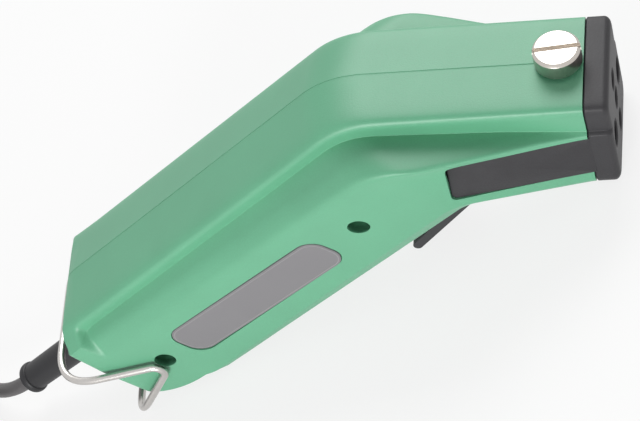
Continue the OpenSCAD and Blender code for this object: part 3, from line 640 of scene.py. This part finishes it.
clamp_x = 80.5
shell_angle = 28
bail_pivot = gripped(159.5, 0, 43.1)
posts_at = ((28.8, 35.9, 32.6), (150.5, 37.9, 29))
recess_radius = 4.25
neck = gripped([168.0, 178.0], 0, sleeve_depth)
shared = [
    nose_drum(clamp_x, -4.5, 4.8, 1.5),
    nose_drum(clamp_x, -46, 4.8, -39),
    turned(rod(6.2, 0, 10), neck[0], neck[1] - neck[0], 48),
    slab((-0.5, -13.8, 54.0), (42.5, 13.8, 66), gripped)]
green = finish("green_nylon", (0.118, 0.376, 0.222), 0.45, vary=0.07, patch=35, grain=1700,
               depth=0.00008, spec=0.55, swing=0.1)
shells = []
for side, word in ((-1, "right"), (1, "left")):
    made = piece("housing_%s_shell" % word, half_points * (1, -side, 1), half_faces, shell_angle)
    bail_hole = turned(rod(1.55, 26, 36), bail_pivot, (0, side, 0), 32)
    cutters = shared + [bail_hole, arm_block(side, 89.5, 0.12, 1.9, 6, 0.0)]
    if word == "right":
        cutters += [drum(t, d, rod(recess_radius, -40, -20)) for t, d, _ in posts_at]
        cutters.append(plate_stack([(9.3, -1.2), (4, -1.2), (-0.3, -1.2), (-0.3, 4), (4, 4), (9.3, 4)]))
    cut(made, cutters, shell_angle)
    shells.append(made)

# Screw posts
# Four posts moulded inside the halves.
# The right ones are bored for a sunk screw head, the left ones for its thread.
post_radius, thread_radius, bore_end, joint_gap = 5.5, 2.1, 14, 0.1
right_posts = piece("posts_right", *joined([
    drum(t, d, [[recess_radius, -y], [recess_radius, -bore_end], [thread_radius, -bore_end],
                [thread_radius, -joint_gap], [post_radius, -joint_gap], [post_radius, -y], [recess_radius, -y]])
    for t, d, y in posts_at]))
left_posts = piece("posts_left", *joined([
    drum(t, d, [[0, bore_end], [thread_radius, bore_end], [thread_radius, joint_gap],
                [post_radius, joint_gap], [post_radius, y], [0, y]])
    for t, d, y in posts_at]))
for posts, made, word in ((right_posts, shells[0], "right"), (left_posts, shells[1], "left")):
    fit(posts, green, "housing", "green_shell")
    fit(made, green, "housing", "green_shell", "housing_" + word)

# Rating plate
# A satin grey plate set flush in a recess of the right flank, left blank.
# A printed pale line runs round its edge.
plate = piece("plate", *plate_stack([(9.3, -0.9), (0.0, -0.9), (0.0, 0.12), (0.06, 0.22), (0.2, 0.3),
                                     (0.9, 0.3), (1.3, 0.3), (4, 0.3), (7, 0.3), (9.3, 0.3)]))
satin = finish("grey_plate", (0.19, 0.183, 0.193), 0.42, vary=0.03, patch=50, grain=2600, depth=0.00001)
pale = finish("pale_line", (0.27, 0.26, 0.27), 0.4, grain=2600, depth=0.00001)
fit(plate, satin, "housing", "grey_plate", "rating_plate")
edge_line = piece("plate_line", *plate_stack([(0.8, 0.25), (0.8, 0.33), (1.15, 0.33), (1.15, 0.25),
                                              (0.8, 0.25)]))
fit(edge_line, pale, "housing", "grey_plate")

# Nose cap
# A block moulded in black heat-proof plastic over the front of both halves, with an arm let into each flank.
# Its face has two holes for the blade's shanks, one between them and two at the sides that let heat out.
cap_length, cap_round, cap_middle, cap_angle = 9.2, 2.4, -22, 32
front_ring = section_rings(np.array([float(front_station)]), 0.0)[0]
ring = np.concatenate([front_ring, front_ring[-2:0:-1] * (1, -1, 1)])
k = np.linspace(0, np.pi / 2, 9)
front_edge = np.stack([cap_length - cap_round + cap_round * np.sin(k), cap_round * (1 - np.cos(k))], -1)
steps = np.concatenate([[[0.3, 0.5], [0.8, 0.0]], front_edge])


def shrunk(row, part):
    """A row of the cap drawn in toward the middle of its face, to a part of its size."""
    return row * (1, part, part) + (0, 0, cap_middle * (1 - part))


rows = []
for x, inset in steps:
    w = np.abs(ring[:, 1])
    rows.append(np.stack([np.full(len(ring), nose_front + x),
                          np.sign(ring[:, 1]) * (w - inset * np.minimum(1, w / 16)),
                          ring[:, 2] + inset * (cap_middle - ring[:, 2]) / 22], -1))
rows = np.stack([shrunk(rows[0], 0), shrunk(rows[0], 0.6)] + rows
                + [shrunk(rows[-1], 0.7), shrunk(rows[-1], 0)])
cap_faces = lattice(len(rows), len(ring), False, True)
cap = piece("nose_block", rest(*np.moveaxis(rows, -1, 0)), cap_faces, cap_angle)
bores = []
for y, z, r in ((0, -11.5, 4), (0, -21.8, 4), (0, -34.3, 4), (-14.4, -23.9, 5), (14.4, -23.9, 5)):
    foot, head = rest(88.0, y, z), rest(89.0, y, z)
    bore = [[0, 0], [r, 0], [r, 10.0], [r + 0.5, 10.5], [r + 0.5, 13], [0, 13]]
    bores.append(turned(bore, foot, head - foot, 48))
cut(cap, bores, cap_angle)
matt = finish("black_heatproof", (0.033, 0.032, 0.035), 0.5, vary=0.15, patch=120, grain=1500,
              depth=0.00012, spec=0.3, swing=0.08)
fit(cap, matt, "housing", "black_plastic", "nose_cap")
arms = piece("nose_arms", *joined([arm_block(side, 90.6, 0, 1.5, 0.2, 0.5) for side in (-1, 1)]))
fit(arms, matt, "housing", "black_plastic")

# Clamping screws
# Two slotted screws turned from brass and nickel plated: a large head on the nose's roof, a small one below.


def clamp_screw(name, foot, axis, d, h, shank):
    """Turned screw with a chamfered head, a collar under it and a slot milled across the head."""
    screw_angle, slot_half, slot_depth, slot_turn = 24, 1, 2.2, np.radians(5)
    r = d / 2
    shape = [[0, -shank], [2.4, -shank], [2.5, -shank + 0.3], [2.5, -1.5], [4.5, -1.5], [4.5, 0],
             [r - 0.35, 0], [r - 0.1, 0.1], [r, 0.35], [r, h - 1.1], [r - 0.1, h - 0.95],
             [r - 0.95, h - 0.1], [r - 1.15, h], [0, h]]
    made = piece(name, *turned(shape, foot, axis, 96), screw_angle)
    out = unit(axis)
    forward = np.array([np.cos(PITCH), 0, -np.sin(PITCH)])
    sideways = np.cross(out, forward)
    along = forward * np.cos(slot_turn) + sideways * np.sin(slot_turn)
    over = sideways * np.cos(slot_turn) - forward * np.sin(slot_turn)
    mill = slab((-d, -slot_half, h - slot_depth), (d, slot_half, h + 2),
                lambda x, y, z: foot + x[:, None] * along + y[:, None] * over + z[:, None] * out)
    cut(made, [mill], screw_angle)
    return made


roof_way = rest(0, 0, 1) - rest(0, 0, 0)
upper = clamp_screw("screw_upper_turned", rest(clamp_x, 0, 1.2), roof_way, 17.6, 7.2, 7.6)
lower = clamp_screw("screw_lower_turned", rest(clamp_x, 0, -45.2), -roof_way, 12, 3.4, 5.8)
nickel = finish("nickel_plate", (0.54, 0.505, 0.465), 0.3, metal=1.0, vary=0.05, patch=200, grain=900,
                depth=0.000006)
fit(upper, nickel, "screw_upper", "nickel", "clamp_screw_upper")
fit(lower, nickel, "screw_lower", "nickel", "clamp_screw_lower")

# Hanging loop
# One length of bright spring wire, 3 mm thick, bent to a loop round the sleeve, with a hairpin at each flank.
# A short stub at each hairpin sits in a hole of the housing, so the loop swings.
wire_radius, loop_half = 1.5, 32.8
half_loop = np.array([[192.4, 16.8, 18], [153.9, 36, 2.6], [153.9, 41.2, 2.6], [187, 52.5, 14]])
t, d, bends = np.concatenate([half_loop, half_loop[::-1]]).T
corners = np.stack([t, loop_half * np.repeat((-1, 1), len(half_loop)), d], -1)
wire = gripped(*rounded(corners, bends[:, None], 15).T)
loop = round_bar(wire, wire_radius, 24, gripped(-1.0, 0, 0) - gripped(0.0, 0, 0), True)
k = np.linspace(0, np.pi / 2, 5)
stub = np.concatenate([np.stack([wire_radius * np.sin(k), 26.5 - 0.2 * np.cos(k)], -1),
                       [[wire_radius, loop_half], [0, loop_half]]])
stubs = [turned(stub, bail_pivot, (0, side, 0), 24) for side in (-1, 1)]
bail = piece("wire_loop", *joined([loop] + stubs))
bright = finish("bright_wire", (0.54, 0.52, 0.5), 0.3, metal=1.0, vary=0.05, patch=300, grain=1500,
                depth=0.000004)
fit(bail, bright, "bail", "bright_wire", "hanging_bail")

# Trigger
# A lever moulded in black plastic that swings on a steel pin in the belly slot and presses the switch.
lever = bpy.data.objects.new("trigger_moulding", nodes["trigger_lever"].data.copy())
scene.collection.objects.link(lever)
bm = bmesh.new()
bm.from_mesh(lever.data)
bmesh.ops.remove_doubles(bm, verts=bm.verts, dist=2e-6)
bmesh.ops.dissolve_limit(bm, angle_limit=np.radians(2), verts=bm.verts, edges=bm.edges)
bm.to_mesh(lever.data)
bm.free()
smooth(lever.data, 30)
edge = lever.modifiers.new("edge", "BEVEL")
edge.width = 0.0004
edge.segments = 2
edge.limit_method = "ANGLE"
edge.angle_limit = np.radians(35)
black = finish("black_trigger", (0.022, 0.022, 0.025), 0.38, grain=1700, depth=0.00002)
fit(lever, black, "trigger", "trigger_black", "trigger_lever")

# Return spring
# Six turns of steel wire, 0.8 mm thick, between the lever and the switch; pressing the trigger shortens it.
spring_t, spring_top, spring_foot, spring_radius, spring_turns = 36.0, 54.3, 72.3, 3.1, 6
a = np.linspace(0, spring_turns * 2 * np.pi, spring_turns * 24 + 1)
helix = gripped(spring_t - spring_radius * np.cos(a), spring_radius * np.sin(a),
                spring_foot - (spring_foot - spring_top) * a / a[-1])
seat, foot = gripped(spring_t, 0.0, spring_top), gripped(spring_t, 0.0, spring_foot)
coil_spring = piece("return_spring", *round_bar(helix, 0.4, 10, seat - foot))
steel = finish("zinc_steel", (0.55, 0.55, 0.56), 0.34, metal=1.0, patch=180, grain=1100, depth=0.000008)
coil_spring.data.materials.append(steel)
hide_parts("trigger_spring")
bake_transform(coil_spring)

# Inner works
# Brass blade blocks, copper bars, transformer, switch and cord clamp inside the halves.
# They are as the solids have them, each in its own stuff.
brass = finish("turned_brass", (0.72, 0.5, 0.22), 0.3, metal=1.0, patch=200, grain=1000, depth=0.000008)
copper = finish("drawn_copper", (0.72, 0.33, 0.18), 0.32, metal=1.0, patch=150, grain=800, depth=0.000008)
iron = finish("core_sheets", (0.14, 0.14, 0.15), 0.5, metal=0.6, patch=90, grain=600, depth=0.00004)
phenolic = finish("cream_phenolic", (0.62, 0.55, 0.42), 0.55, patch=80, grain=900, depth=0.00003)
inner = {"clamp_pad_upper": brass, "clamp_pad_lower": brass, "electrode_upper": brass,
         "electrode_lower": brass, "insulator_carrier": phenolic, "secondary_bars": copper,
         "transformer_core": iron, "core_bracket": steel, "coil_bobbin": phenolic,
         "primary_winding": copper, "thermal_cutout": matt, "terminal_block": phenolic,
         "switch_leads": rubber, "switch_body": matt, "switch_plunger": phenolic, "trigger_pin": steel,
         "cord_clamp": matt, "cord_clamp_screws": steel, "housing_screws": iron}
for name, material in inner.items():
    nodes[name].data.materials.clear()
    nodes[name].data.materials.append(material)
